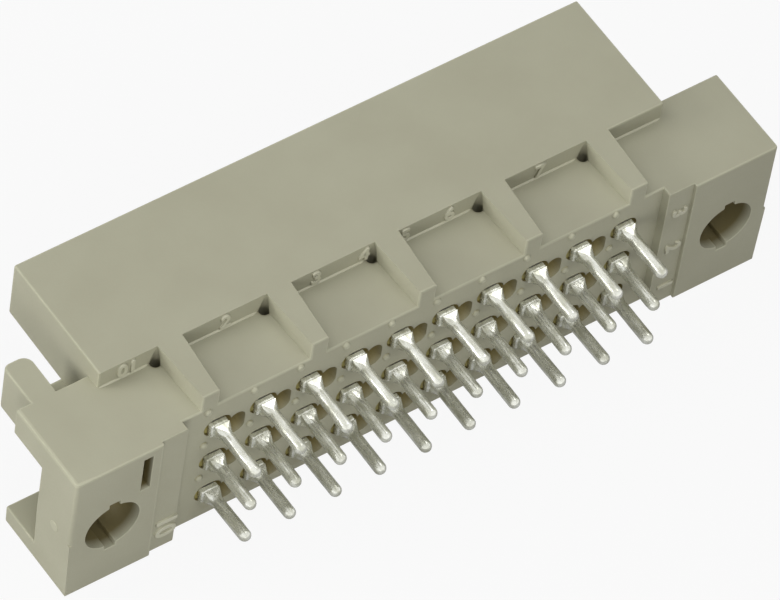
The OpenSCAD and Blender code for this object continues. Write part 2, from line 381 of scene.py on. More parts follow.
# %% Dark places
def make_painted_shade_places():
    """Two masks from the place alone, for painted shade: the contact passages, and the darker small
    holes.
    """
    group, _, result = new_group("painted_shade_places", {}, ("Passages", "Hole shade"))
    nodes, links = group.nodes, group.links

    def value(operation, first, second=None, clamp=False):
        return math_node(nodes, links, operation, first, second, clamp)

    def ramp(socket, zero_at, one_at):
        past_zero = value("SUBTRACT", socket, zero_at)
        return value("DIVIDE", past_zero, one_at - zero_at, clamp=True)

    def distance(first, second):
        squares = [value("MULTIPLY", part, part) for part in (first, second)]
        return value("SQRT", value("ADD", *squares))

    def all_of(first, *others):
        for other in others:
            first = value("MULTIPLY", first, other)
        return first

    place = nodes.new("ShaderNodeTexCoord")
    axes = nodes.new("ShaderNodeSeparateXYZ")
    links.new(place.outputs["Object"], axes.inputs[0])
    x, y, z = (value("DIVIDE", axes.outputs[axis], MM) for axis in "XYZ")
    aside = value("ABSOLUTE", x)
    in_web = value("LESS_THAN", y, WEB_FRONT_Y - MARGIN)
    from_hole = distance(value("SUBTRACT", aside, HOLE_X), z)
    in_bore = value("LESS_THAN", from_hole, HOLE_R + BORE_RIM)
    bore = all_of(in_bore, ramp(y, *BORE_FADE_Y), in_web, BORE_SHADE)
    from_slit = value("ABSOLUTE", value("SUBTRACT", x, SLIT_X))
    slit = all_of(
        value("LESS_THAN", from_slit, SLIT_HALF), value("GREATER_THAN", z, SLIT_LOW),
        value("LESS_THAN", z, SLIT_HIGH), ramp(y, *SLIT_FADE_Y), in_web)
    along_ribs = value("PINGPONG", value("SUBTRACT", x, RELIEF_FROM_RIB), RIB_PITCH / 2)
    from_relief = distance(along_ribs, value("SUBTRACT", y, RELIEF_Y))
    reach = value("MULTIPLY", ramp(z, BODY_TOP - MARGIN, POCKET_FLOOR_Z), RELIEF_REACH)
    inside_by = value("SUBTRACT", reach, from_relief)
    relief = all_of(
        value("MULTIPLY", inside_by, 1 / RELIEF_SOFT, clamp=True),
        value("LESS_THAN", aside, RELIEFS_END_X), value("GREATER_THAN", z, PASSAGE_TOP), RELIEF_SHADE)
    passages = all_of(
        value("LESS_THAN", aside, PASSAGE_END_X), value("LESS_THAN", y, PASSAGE_END_Y),
        value("LESS_THAN", value("ABSOLUTE", z), PASSAGE_TOP))
    links.new(passages, result.inputs["Passages"])
    # The second output is where painted shade darkens the bores, the slit and the corner reliefs.
    links.new(value("MAXIMUM", bore, value("MAXIMUM", slit, relief)), result.inputs["Hole shade"])
    return group


PAINTED_SHADE_PLACES = make_painted_shade_places()
print("dark places nodes", len(PAINTED_SHADE_PLACES.nodes))

# %% [markdown]
# Parts of a material
#
# The finishes are built from the same few steps: place a group, blend two colours, spread a noise over
# a range, and turn a height into a bump. The Principled shader itself could be shared too, but it
# stays in the material, where each finish sets its own values.

# %% Material helpers
NOISE_LOW, NOISE_HIGH = 0.3, 0.7


def place_group(material, group, **settings):
    """Puts a shader group in a material and sets its inputs."""
    made = material.node_tree.nodes.new("ShaderNodeGroup")
    made.node_tree = group
    for label, value in settings.items():
        made.inputs[label.replace("_", " ")].default_value = value
    return made


def blend_colours(material, factor, low, high):
    """A Mix node between two colours, either of which may be a socket."""
    nodes, links = material.node_tree.nodes, material.node_tree.links
    made = nodes.new("ShaderNodeMix")
    made.data_type = "RGBA"
    for socket, value in ((made.inputs[0], factor), (made.inputs[6], low), (made.inputs[7], high)):
        if isinstance(value, bpy.types.NodeSocket):
            links.new(value, socket)
        else:
            socket.default_value = (*value, 1.0)
    return made.outputs[2]


def spread(material, value, low, high):
    """A Map Range node that turns a noise of about 0.3 to 0.7 into low to high."""
    made = material.node_tree.nodes.new("ShaderNodeMapRange")
    made.inputs["From Min"].default_value = NOISE_LOW
    made.inputs["From Max"].default_value = NOISE_HIGH
    made.inputs["To Min"].default_value = low
    made.inputs["To Max"].default_value = high
    material.node_tree.links.new(value, made.inputs["Value"])
    return made.outputs["Result"]


def bump(material, height, distance):
    """A Bump node of full strength, and its normal."""
    made = material.node_tree.nodes.new("ShaderNodeBump")
    made.inputs["Distance"].default_value = distance
    material.node_tree.links.new(height, made.inputs["Height"])
    return made.outputs["Normal"]


print("noise", NOISE_LOW, "to", NOISE_HIGH)

# %% [markdown]
# The plastic
#
# Such housings are moulded from glass-filled plastic in a pale grey-beige. The surface is matt, with
# a very fine eroded grain from the tool, and its tone changes a little where the melt flowed. The
# depths of the contact passages are painted a golden brown, and the small holes a dark brown, as
# painted shade. Edges and raised marks are painted lighter, as a painted highlight, and the ledges
# beside the contacts golden, as painted light that comes through the thin plastic. One material
# could tell these apart by masks too, but four variants of it stay readable.

# %% Moulded plastic
FLOW_TONES = ((0.352, 0.343, 0.252), (0.376, 0.369, 0.274))
EDGE_HIGHLIGHT_TONES = ((0.39, 0.383, 0.28), (0.425, 0.418, 0.308))
RELIEF_HIGHLIGHT_TONES = ((0.46, 0.45, 0.34), (0.54, 0.53, 0.41))
LEDGE_GLOW_TONES = ((0.34, 0.30, 0.085), (0.40, 0.36, 0.12))
PASSAGE_SHADE_TONE = (0.3, 0.24, 0.085)
HOLE_SHADE_TONE = (0.12, 0.097, 0.037)
PLASTIC_GRAIN = 0.000004
PLASTIC_IOR = 1.52
PLASTIC_SPECULAR = 0.4


def moulded_plastic(name, tones, roughness):
    """Grey-beige glass-filled plastic, matt as moulded, between two tones."""
    material = bpy.data.materials.new(name)
    material.use_nodes = True
    nodes, links = material.node_tree.nodes, material.node_tree.links
    shader = nodes["Principled BSDF"]
    mottle = place_group(material, SOFT_MOTTLE, Patch_size=0.0035, Grain_size=0.00012)
    depth_shade = place_group(material, SHADE_DEPTH_MASK, Reach=0.003, Deep=0.1, Open=0.46)
    places = place_group(material, PAINTED_SHADE_PLACES)
    passage_shade = math_node(
        nodes, links, "MULTIPLY", depth_shade.outputs["Mask"], places.outputs["Passages"])
    tone = spread(material, mottle.outputs["Tone"], 0.0, 1.0)
    skin = blend_colours(material, tone, *tones)
    # Painted shade: the depths of the contact passages turn golden brown.
    passage_shaded = blend_colours(material, passage_shade, skin, PASSAGE_SHADE_TONE)
    # Painted shade: the fixing holes, the slit and the corner reliefs turn dark brown.
    shaded = blend_colours(material, places.outputs["Hole shade"], passage_shaded, HOLE_SHADE_TONE)
    grain = mottle.outputs["Grain"]
    links.new(shaded, shader.inputs["Base Color"])
    links.new(spread(material, grain, *roughness), shader.inputs["Roughness"])
    links.new(bump(material, grain, PLASTIC_GRAIN), shader.inputs["Normal"])
    shader.inputs["IOR"].default_value = PLASTIC_IOR
    shader.inputs["Specular IOR Level"].default_value = PLASTIC_SPECULAR
    return material


PLASTIC = moulded_plastic("moulded_plastic", FLOW_TONES, (0.5, 0.6))
# Lighter than the plain plastic: a painted highlight on the rounded edges and small raised marks.
PLASTIC_EDGE_HIGHLIGHT = moulded_plastic("moulded_edge_highlight", EDGE_HIGHLIGHT_TONES, (0.4, 0.5))
# Lighter still: a painted highlight on the rounds at the pocket walls' feet and on the numbers.
PLASTIC_RELIEF_HIGHLIGHT = moulded_plastic("moulded_relief_highlight", RELIEF_HIGHLIGHT_TONES, (0.35, 0.45))
# Golden: painted light, for the light that comes through the thin plastic at the ledges.
PLASTIC_LEDGE_GLOW = moulded_plastic("moulded_ledge_glow", LEDGE_GLOW_TONES, (0.4, 0.5))
print("plastic nodes", len(PLASTIC.node_tree.nodes))

# %% [markdown]
# The tin
#
# The contacts are tinned after stamping. Molten tin runs together in soft blobs at the shoulders and
# at the pin tips, so the coat is bright and a little uneven, with duller streaks along the pin. The
# blades inside the shroud are smooth and even. A pure metal would look dark in the narrow field of
# pins, where it mirrors only other pins, so some of the light is scattered as on a matt surface.

# %% Tin
TINNED_BEHIND_Y = 0.75
BLADE_TONE = (0.80, 0.79, 0.74)
STREAK_TONES = ((0.52, 0.52, 0.42), (0.92, 0.93, 0.86))
DULL_ROUGHNESS = 0.32
POLISHED_BY = 0.14
TIN_METALLIC = 0.74
TIN_GRAIN = 0.000025


def bright_tin():
    """Tin coat on the contacts, satin with duller streaks behind the shoulder bar."""
    material = bpy.data.materials.new("bright_tin")
    material.use_nodes = True
    nodes, links = material.node_tree.nodes, material.node_tree.links
    shader = nodes["Principled BSDF"]
    mottle = place_group(
        material, SOFT_MOTTLE, Patch_size=0.0003, Grain_size=0.0002, Shorter_along_Y=0.3)
    tone = spread(material, mottle.outputs["Tone"], 0.0, 1.0)
    place = nodes.new("ShaderNodeTexCoord")
    axes = nodes.new("ShaderNodeSeparateXYZ")
    links.new(place.outputs["Object"], axes.inputs[0])
    tinned = math_node(nodes, links, "LESS_THAN", axes.outputs["Y"], TINNED_BEHIND_Y * MM)
    streaked = blend_colours(material, tone, *STREAK_TONES)
    links.new(blend_colours(material, tinned, BLADE_TONE, streaked), shader.inputs["Base Color"])
    polished = math_node(nodes, links, "MULTIPLY", tone, tinned)
    shine = math_node(nodes, links, "MULTIPLY", polished, POLISHED_BY)
    roughness = math_node(nodes, links, "SUBTRACT", DULL_ROUGHNESS, shine)
    links.new(roughness, shader.inputs["Roughness"])
    lumps = math_node(nodes, links, "MULTIPLY", mottle.outputs["Grain"], tinned)
    links.new(bump(material, lumps, TIN_GRAIN), shader.inputs["Normal"])
    shader.inputs["Metallic"].default_value = TIN_METALLIC
    return material


TIN = bright_tin()
print("tin nodes", len(TIN.node_tree.nodes))

# %% [markdown]
# Small helpers
#
# An operator acts on what is selected, so each step starts from nothing selected. Faces and edges
# could be picked by their numbers, but these change with every edit. So they are picked in code, by
# their place.

# %% Helpers for operators
def select_only(obj):
    """Makes one object the only selected and active one."""
    if bpy.context.object and bpy.context.object.mode != "OBJECT":
        bpy.ops.object.mode_set(mode="OBJECT")
    bpy.ops.object.select_all(action="DESELECT")
    obj.select_set(True)
    bpy.context.view_layer.objects.active = obj


def pick(obj, kind, test):
    """In edit mode, selects the faces or edges that pass the test, and counts them."""
    mesh = bmesh.from_edit_mesh(obj.data)
    bpy.ops.mesh.select_all(action="DESELECT")
    bpy.ops.mesh.select_mode(type=kind)
    count = 0
    for part in {"EDGE": mesh.edges, "FACE": mesh.faces}[kind]:
        if test(part):
            part.select_set(True)
            count += 1
    mesh.select_flush_mode()
    bmesh.update_edit_mesh(obj.data)
    return count


def apply_modifier(obj, kind, **settings):
    """Adds one modifier, sets it up and applies it."""
    select_only(obj)
    modifier = obj.modifiers.new(kind.title(), kind)
    for key, value in settings.items():
        setattr(modifier, key, value)
    bpy.ops.object.modifier_apply(modifier=modifier.name)


def smooth_under(degrees):
    """Shades the selected object smooth wherever its faces meet at less than an angle."""
    bpy.ops.object.shade_smooth_by_angle(angle=math.radians(degrees))


# %% [markdown]
# The housing
#
# The construction has the housing's true shape with sharp edges, and a real moulding has none. It
# could be modelled anew, but a copy of the construction keeps every size. The copy's loose triangles
# are merged and its flat faces dissolved back to plain ones, and then the edges that show get a small
# radius, from a bevel that is weighted edge by edge. The tight openings of the pin field stay sharp,
# because their webs are too thin for a radius.

# %% Copy of the housing
SAME_POINT = 1e-6
SAME_PLANE = math.radians(0.5)


def copy_of_node(node, name):
    """A copy of a CAD node with its own mesh, merged and with plain flat faces."""
    made = bpy.data.objects.new(name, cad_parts[node].data.copy())
    bpy.context.scene.collection.objects.link(made)
    made.data.materials.clear()
    select_only(made)
    bpy.ops.object.mode_set(mode="EDIT")
    bpy.ops.mesh.select_all(action="SELECT")
    bpy.ops.mesh.customdata_custom_splitnormals_clear()
    bpy.ops.mesh.remove_doubles(threshold=SAME_POINT)
    bpy.ops.mesh.dissolve_limited(angle_limit=SAME_PLANE)
    bpy.ops.object.mode_set(mode="OBJECT")
    return made


moulding = copy_of_node("housing", "moulded_housing")
print("plain faces of the housing", len(moulding.data.polygons))

# %% [markdown]
# Which edges are rounded, and how much
#
# The upper outer rim of the flange with the lug is rounded most, and the rims of the small holes
# least. Each test below finds one kind of edge by the place of its ends, in millimetres. Weights
# set by hand would be lost with the next change of the construction, and these tests are not.

# %% Edge tests
PIN_FIELD_X = STRIP_X - MARGIN
PIN_FIELD_TOP = POCKET_FLOOR_Z - 0.3
PIN_FIELD_FRONT_Y = 5.21
RELIEF_RIM = 0.42
RELIEF_BOTTOM = POCKET_FLOOR_Z - 1.5
FLANGE_EDGE = 0.3
PARTING_Z = -0.1
HOLE_RIM = 0.4
SLIT_RIM = 0.35
WEB_MARGIN = 0.1
STRIP_EDGE = 0.03


def in_pin_field(x, y, z):
    """True inside the openings of the pin field and of the contact passages."""
    return abs(x) < PIN_FIELD_X and -PASSAGE_TOP < z < PIN_FIELD_TOP and y < PIN_FIELD_FRONT_Y


def in_corner_relief(x, y, z):
    """True in the small dark relief at the inner corner of a pocket."""
    rib_x = round((x - RELIEF_FROM_RIB) / RIB_PITCH) * RIB_PITCH
    from_axis = math.hypot(x - rib_x - RELIEF_FROM_RIB, y - RELIEF_Y)
    return from_axis < RELIEF_RIM and rib_x in RIB_XS and z > RELIEF_BOTTOM


def on_lug_side_rim(x, y, z):
    """True on the upper outer edge of the flange that has the lug, which is rounded most."""
    return x < FLANGE_EDGE - FLANGE_END_X and z > POCKET_FLOOR_Z - MARGIN


def at_parting_step(x, y, z):
    """True at the small step where the rounded corner of a flange ends."""
    at_end = abs(x) > FLANGE_END_X - FLANGE_EDGE
    return at_end and y < FLANGE_EDGE and abs(z - PARTING_Z) < MARGIN


def at_fine_opening(x, y, z):
    """True at the rims of the fixing holes and of the slit."""
    at_hole = math.hypot(abs(x) - HOLE_X, z) < HOLE_R + HOLE_RIM
    at_slit = abs(x - SLIT_X) < SLIT_RIM and SLIT_LOW < z < SLIT_HIGH
    return y < WEB_FRONT_Y + WEB_MARGIN and (at_hole or at_slit)


def at_strip_edge(x, y, z):
    """True on the upright edges of the strips beside the pins."""
    from_edge = min(abs(abs(x) - STRIP_X), abs(abs(x) - BLOCK_X))
    return y < STRIP_FACE_Y + MARGIN and from_edge < STRIP_EDGE


print("pin field up to", PIN_FIELD_X, "aside and", PIN_FIELD_TOP, "high")

# %% Rounded edges
EDGE_RADIUS = 0.1
FINE_RADIUS = 0.045
RIM_RADIUS = 0.17
FLATTEST_ROUNDED = math.radians(30)
WEIGHT_LAYER = "bevel_weight_edge"


def share_of_radius(edge):
    """How much of the widest edge radius an edge gets, from 0 to 1."""
    if len(edge.link_faces) != 2 or edge.calc_face_angle(0.0) < FLATTEST_ROUNDED:
        return 0.0
    if not edge.is_convex:
        return 0.0
    ends = [tuple(v.co / MM) for v in edge.verts]
    if all(in_pin_field(*end) for end in ends):
        return 0.0
    if any(in_corner_relief(*end) or at_parting_step(*end) for end in ends):
        return 0.0
    if all(at_fine_opening(*end) for end in ends) or all(at_strip_edge(*end) for end in ends):
        return FINE_RADIUS / RIM_RADIUS
    if all(on_lug_side_rim(*end) for end in ends):
        return 1.0
    return EDGE_RADIUS / RIM_RADIUS


sharp_moulding = bmesh.new()
sharp_moulding.from_mesh(moulding.data)
weight_layer = sharp_moulding.edges.layers.float.new(WEIGHT_LAYER)
for edge in sharp_moulding.edges:
    edge[weight_layer] = share_of_radius(edge)
rounded_edges = sum(1 for edge in sharp_moulding.edges if edge[weight_layer] > 0)
sharp_moulding.to_mesh(moulding.data)
sharp_moulding.free()
moulding.data.materials.append(PLASTIC)
moulding.data.materials.append(PLASTIC_EDGE_HIGHLIGHT)
apply_modifier(
    moulding, "BEVEL", width=RIM_RADIUS * MM, segments=2, limit_method="WEIGHT",
    use_clamp_overlap=False, miter_outer="MITER_ARC", material=1,
)
print("housing edges rounded:", rounded_edges, "faces", len(moulding.data.polygons))

# %% [markdown]
# Finishing the housing
#
# The new faces along the edges took the second material, the lighter plastic, which paints a
# highlight along them. Smooth shading alone would bend the light on the flat faces, so a modifier
# weights the normals by area.

# %% Housing finish
select_only(moulding)
smooth_under(35)
apply_modifier(moulding, "WEIGHTED_NORMAL", keep_sharp=True, weight=100)
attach(moulding, "root")
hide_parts("housing")
print("housing materials", [m.name for m in moulding.data.materials])

# %% [markdown]
# Pieces in millimetres
#
# The small pieces are modelled in plain millimetres at their own origin, as on a bench, and are
# brought to metres when they are put in place. Modelling them in metres would work too, but the
# numbers would be hard to read. Each piece ends with its place in its mesh. A face looks along an
# axis when the part of its normal along it is above FACING.

# %% Helpers for new pieces
FACING = 0.99


def new_piece(name):
    """Takes the primitive just added as a piece, with its place in its mesh, in edit mode."""
    piece = bpy.context.object
    piece.name = name
    piece.data.transform(piece.matrix_basis)
    piece.matrix_basis = Matrix.Identity(4)
    bpy.ops.object.mode_set(mode="EDIT")
    return piece


def pull(step, scale=(1.0, 1.0, 1.0), centre=(0.0, 0.0, 0.0)):
    """Extrudes what is selected by a step, then scales the new end about a centre."""
    bpy.ops.mesh.extrude_region_move(TRANSFORM_OT_translate={"value": step})
    bpy.ops.transform.resize(value=scale, center_override=centre)


def outward_normals():
    """In edit mode, turns all faces of a piece to the outside, and goes back to object mode."""
    bpy.ops.mesh.select_all(action="SELECT")
    bpy.ops.mesh.normals_make_consistent(inside=False)
    bpy.ops.object.mode_set(mode="OBJECT")


def to_place(piece, offset=(0.0, 0.0, 0.0)):
    """Moves a piece modelled in millimetres to its place, and brings it to metres."""
    piece.data.transform(Matrix.Scale(MM, 4) @ Matrix.Translation(Vector(offset)))


def hand_over(piece, material):
    """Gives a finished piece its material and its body."""
    piece.data.materials.clear()
    piece.data.materials.append(material)
    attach(piece, "root")


print("one millimetre is", MM, "m in the scene")

# %% [markdown]
# The pin and its root
#
# The solder pin is round, and the stamping that it grows out of is square. Between the two the metal
# is pressed from square to round, which leaves four flat triangles, and the upper one flashes white
# in the light. Rings placed by hand would make the same form. Here a square and a circle are bridged,
# because the circle can then be extruded in short steps along the pin and drawn in over its round tip.

# %% Solder pin
PIN_R = 0.315
PIN_SIDES = 20
PIN_START_Y = -0.06
PIN_REACH = 2.63
PIN_STEPS = 12
TIP_RINGS = 5
ROOT_Y = 0.38
ROOT_HALF = 0.4
ROOT_END = 0.7
BAR_FACE_Y, BAR_BACK_Y = 0.4, 0.72
INSIDE_BAR = 0.1
SAME_LEVEL = 1e-4


def at_y(level):
    """A test for edges that lie across the Y axis at one level."""
    return lambda edge: all(abs(v.co.y - level) < SAME_LEVEL for v in edge.verts)


def draw_in_tip():
    """Extrudes the end of the pin in rings over its round tip, and closes it."""
    ring_y, ring_r = PIN_R - PIN_REACH, PIN_R
    for ring in range(1, TIP_RINGS):
        angle = ring / TIP_RINGS * math.pi / 2
        next_y = PIN_R - PIN_REACH - PIN_R * math.sin(angle)
        next_r = PIN_R * math.cos(angle)
        shrink = next_r / ring_r
        pull((0, next_y - ring_y, 0), (shrink, 1, shrink), (0, next_y, 0))
        ring_y, ring_r = next_y, next_r
    bpy.ops.mesh.edge_face_add()


def model_pin():
    """The round pin with its square-to-round root, closed at both ends."""
    across = (math.pi / 2, 0.0, 0.0)
    bpy.ops.object.select_all(action="DESELECT")
    bpy.ops.mesh.primitive_plane_add(size=2 * ROOT_HALF, location=(0, ROOT_Y, 0), rotation=across)
    pin = new_piece("pin")
    bpy.ops.mesh.delete(type="ONLY_FACE")
    bpy.ops.mesh.primitive_circle_add(
        vertices=PIN_SIDES, radius=PIN_R, location=(0, PIN_START_Y, 0), rotation=across)
    bpy.ops.mesh.select_all(action="SELECT")
    bpy.ops.mesh.bridge_edge_loops()
    pick(pin, "EDGE", at_y(PIN_START_Y))
    straight = PIN_REACH - PIN_R + PIN_START_Y
    for _ in range(PIN_STEPS):
        pull((0, -straight / PIN_STEPS, 0))
    draw_in_tip()
    pick(pin, "EDGE", at_y(ROOT_Y))
    pull((0, BAR_BACK_Y - ROOT_Y - INSIDE_BAR, 0), (ROOT_END, 1, ROOT_END))
    bpy.ops.mesh.edge_face_add()
    outward_normals()
    return pin


solder_pin = model_pin()
print("pin faces", len(solder_pin.data.polygons))

# %% [markdown]
# The stamped part
#
# The shoulder bar stops the contact when it is pressed in, and lies in its recess a little to one
# side. In front of it come a neck, the part that grips in the plastic, and the square blade, which
# is tapered at its tip. A real one is stamped from a strip. A cut outline could be given a thickness
# here too, but the blade's tip tapers both ways, so all of it is pulled out of the bar's front
# face, one step at a time. The bar's edges are rounded by the punch and by the tin.

# %% Stamped part
BAR_LOW = Vector((-0.56, BAR_FACE_Y, -0.38))
BAR_HIGH = Vector((0.38, BAR_BACK_Y, 0.43))
BAR_EDGE = 0.07
BLADE_T = 0.6
STEPS_FORWARD = (
    (1.45, BLADE_T),
    (3.0, 0.9),
    (9.3, BLADE_T),
)
TIP_Y, TIP_W = 10.1, 0.24


def model_stamping():
    """The shoulder bar with the neck, the press part and the blade, in one closed shell."""
    size = BAR_HIGH - BAR_LOW
    middle = (BAR_LOW + BAR_HIGH) / 2
    bpy.ops.object.select_all(action="DESELECT")
    bpy.ops.mesh.primitive_cube_add(size=1.0, location=middle, scale=size)
    stamping = new_piece("stamping")
    bpy.ops.mesh.select_all(action="SELECT")
    bpy.ops.mesh.bevel(offset=BAR_EDGE, segments=3, affect="EDGES")
    pick(stamping, "FACE", lambda face: face.normal.y > FACING)
    flat = 2 * BAR_EDGE
    bpy.ops.mesh.extrude_region_move(TRANSFORM_OT_translate={"value": (0, 0, 0)})
    bpy.ops.transform.resize(
        value=(BLADE_T / (size.x - flat), 1, BLADE_T / (size.z - flat)), center_override=middle)
    bpy.ops.transform.translate(value=(-middle.x, 0, -middle.z))
    level, width = BAR_BACK_Y, BLADE_T
    for end, next_width in STEPS_FORWARD:
        if next_width != width:
            pull((0, 0, 0), (next_width / width, 1, 1))
        pull((0, end - level, 0))
        level, width = end, next_width
    pull((0, TIP_Y - level, 0), (TIP_W / BLADE_T, 1, TIP_W / BLADE_T), (0, TIP_Y, 0))
    outward_normals()
    return stamping


stamping = model_stamping()
print("stamped faces", len(stamping.data.polygons))

# %% [markdown]
# One contact
#
# The pin and the stamped part are one piece of metal, so a Boolean unites them. Joining the two
# meshes would be simpler, but it would leave faces inside the metal. The edges of the flat triangles
# at the root are then marked as sharp, so that they stay crisp when the contact is shaded smooth.

# %% Contact
def borders_flat(edge):
    """True for the edges of the flat triangles between the square root and the round pin."""
    for face in edge.link_faces:
        levels = sorted(round(v.co.y, 3) for v in face.verts)
        if levels == [PIN_START_Y, ROOT_Y, ROOT_Y]:
            return True
    return False


apply_modifier(stamping, "BOOLEAN", object=solder_pin, operation="UNION", solver="EXACT")
bpy.data.objects.remove(solder_pin)
select_only(stamping)
bpy.ops.object.mode_set(mode="EDIT")
flat_edges = pick(stamping, "EDGE", borders_flat)
bpy.ops.mesh.mark_sharp()
bpy.ops.object.mode_set(mode="OBJECT")
print("contact faces", len(stamping.data.polygons), "edges of the flats", flat_edges)

# %% [markdown]
# Thirty contacts
#
# No two pins are quite alike: each leans a little, ends a few hundredths of a millimetre early or
# late, and has its own lumps in the tin. An array would make them all the same. So every copy gets its
# own mesh and its own small changes before it goes to its place in the grid, and its lumps come from
# one cloud that fills space.

# %% Contacts
SEED = 31
MOST_LEAN = 0.012
MOST_STRETCH = 0.016
TIN_LUMP = 0.016
TIN_LUMP_SIZE = 0.3
variation = random.Random(SEED)
tin_lumps = bpy.data.textures.new("tin_lumps", "CLOUDS")
tin_lumps.noise_scale = TIN_LUMP_SIZE


def vary_pin(mesh):
    """Leans and stretches the free part of the pin by a few hundredths of a millimetre."""
    lean_x, lean_z = (variation.uniform(-MOST_LEAN, MOST_LEAN) for _ in range(2))
    stretch = 1 + variation.uniform(-MOST_STRETCH, MOST_STRETCH)
    for vertex in mesh.vertices:
        if vertex.co.y < 0:
            vertex.co.x += vertex.co.y * lean_x
            vertex.co.z += vertex.co.y * lean_z
            vertex.co.y *= stretch


def place_contact(row, column):
    """One contact, with its own mesh, at its place in the grid."""
    node = f"contact_{ROWS[row]}{column + 1:02d}"
    contact = bpy.data.objects.new(f"tinned_{node}", stamping.data.copy())
    bpy.context.scene.collection.objects.link(contact)
    vary_pin(contact.data)
    contact.data.transform(Matrix.Translation((column_x(column), 0, row_z(row))))
    tinned = contact.vertex_groups.new(name="tinned")
    behind = [v.index for v in contact.data.vertices if v.co.y < TINNED_BEHIND_Y]
    tinned.add(behind, 1.0, "REPLACE")
    apply_modifier(
        contact, "DISPLACE", texture=tin_lumps, texture_coords="LOCAL", strength=TIN_LUMP,
        mid_level=0.5, vertex_group="tinned")
    contact.vertex_groups.clear()
    to_place(contact)
    select_only(contact)
    smooth_under(38)
    hand_over(contact, TIN)
    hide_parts(node)
    return contact


contacts = [place_contact(row, column) for row in range(len(ROWS)) for column in range(COLUMNS)]
bpy.data.objects.remove(stamping)
print("contacts", len(contacts), "faces each", len(contacts[0].data.polygons))

# %% [markdown]
# The small bumps between the rows
#
# A low round bump stands on the rear face above each contact. A half ball would do too. Here the free
# rim of a cylinder is bevelled, which keeps a small flat top, and thirty copies of it are joined.

# %% Bumps on the pin face
BUMP_R = 0.2
BUMP_PROUD = 0.15
BUMP_FOOT = 0.05
BUMP_ROUNDED_SHARE = 0.9
BUMP_FROM_CONTACT = (-0.66, 0.0, 1.36)


def join_all(pieces, name):
    """Joins pieces into the first one, under a new name."""
    select_only(pieces[0])
    for piece in pieces[1:]:
        piece.select_set(True)
    bpy.ops.object.join()
    pieces[0].name = name
    return pieces[0]


def one_per_contact(first, name, offset=(0.0, 0.0, 0.0)):
    """Copies a piece to the same place beside every contact, and joins the copies."""
    copies = []
    for row in range(len(ROWS)):
        for column in range(COLUMNS):
            one = bpy.data.objects.new(first.name, first.data.copy())
            bpy.context.scene.collection.objects.link(one)
            to_place(one, Vector((column_x(column), 0, row_z(row))) + Vector(offset))
            copies.append(one)
    bpy.data.objects.remove(first)
    return join_all(copies, name)


def model_bump():
    """A low round bump, with its foot a little inside the face that it stands on."""
    depth = BUMP_PROUD + BUMP_FOOT
    middle_y = PIN_FACE_Y - BUMP_PROUD + depth / 2
    bpy.ops.object.select_all(action="DESELECT")
    bpy.ops.mesh.primitive_cylinder_add(
        vertices=20, radius=BUMP_R, depth=depth, location=(0, middle_y, 0),
        rotation=(math.pi / 2, 0, 0))
    made = new_piece("bump")
    pick(made, "EDGE", at_y(PIN_FACE_Y - BUMP_PROUD))
    bpy.ops.mesh.bevel(offset=BUMP_PROUD * BUMP_ROUNDED_SHARE, segments=3, affect="EDGES")
    bpy.ops.object.mode_set(mode="OBJECT")
    return made


bumps = one_per_contact(model_bump(), "pin_face_bumps", BUMP_FROM_CONTACT)
smooth_under(50)
# The bumps take the lighter edge plastic, a painted highlight.
hand_over(bumps, PLASTIC_EDGE_HIGHLIGHT)
print("bump faces", len(bumps.data.polygons))

# %% [markdown]
# The ledges in the recesses
#
# Left of each shoulder bar the recess isn't deep. A small ledge shows there, golden where light comes
# through the thin plastic. Light through plastic could be simulated, but the ledges are a few tenths
# of a millimetre wide, and a golden tone does the same. Thirty copies of one block are joined.

# %% Ledges
LEDGE_LOW = Vector((-0.8, 0.82, -0.5))
LEDGE_HIGH = Vector((-0.45, 1.0, 0.34))


def model_ledge():
    """A block that fills the left end of a recess behind the pin face."""
    size = LEDGE_HIGH - LEDGE_LOW
    bpy.ops.object.select_all(action="DESELECT")
    bpy.ops.mesh.primitive_cube_add(
        size=1.0, location=(LEDGE_LOW + LEDGE_HIGH) / 2, scale=size)
    made = new_piece("ledge")
    bpy.ops.object.mode_set(mode="OBJECT")
    return made


ledges = one_per_contact(model_ledge(), "recess_ledges")
# The ledges' golden tone is painted light, for light through the thin plastic.
hand_over(ledges, PLASTIC_LEDGE_GLOW)
print("ledge faces", len(ledges.data.polygons))

# %% [markdown]
# The gate mark
#
# The melt came in on the end face of the flange that has the lug, and left a low round mark where the
# sprue was broken off. A bump in the material would vanish seen edge on, so it is a thin disc with a
# bevelled rim, sunk into the face.

# %% Gate mark
GATE_R = 0.3
GATE_PROUD = 0.03
GATE_DEPTH = 0.2
GATE_RIM = 0.06
GATE_Y, GATE_Z = 1.3, 0.05
gate_x = GATE_DEPTH / 2 - FLANGE_END_X - GATE_PROUD
bpy.ops.object.select_all(action="DESELECT")
bpy.ops.mesh.primitive_cylinder_add(
    vertices=24, radius=GATE_R, depth=GATE_DEPTH, rotation=(0, math.pi / 2, 0),
    location=(gate_x, GATE_Y, GATE_Z))
gate_mark = new_piece("gate_mark")
pick(gate_mark, "FACE", lambda face: face.normal.x < -FACING)
bpy.ops.mesh.bevel(offset=GATE_RIM, segments=2, affect="EDGES")
bpy.ops.object.mode_set(mode="OBJECT")
to_place(gate_mark)
# The mark takes the lighter edge plastic, a painted highlight.
hand_over(gate_mark, PLASTIC_EDGE_HIGHLIGHT)
print("gate mark faces", len(gate_mark.data.polygons))

# %% [markdown]
# The rounds at the foot of the pocket walls
#
# The foot of each pocket's wall has a small glossy round, and a thin light line shows along it. The
# line is a painted highlight, because the round takes the lightest plastic. It ends where the dark
# relief in the corner begins. The inner edge of the housing could be bevelled, but the bevel would
# run into the relief. So a slim cylinder with tapered ends is laid into the corner, and only its free
# quarter shows.

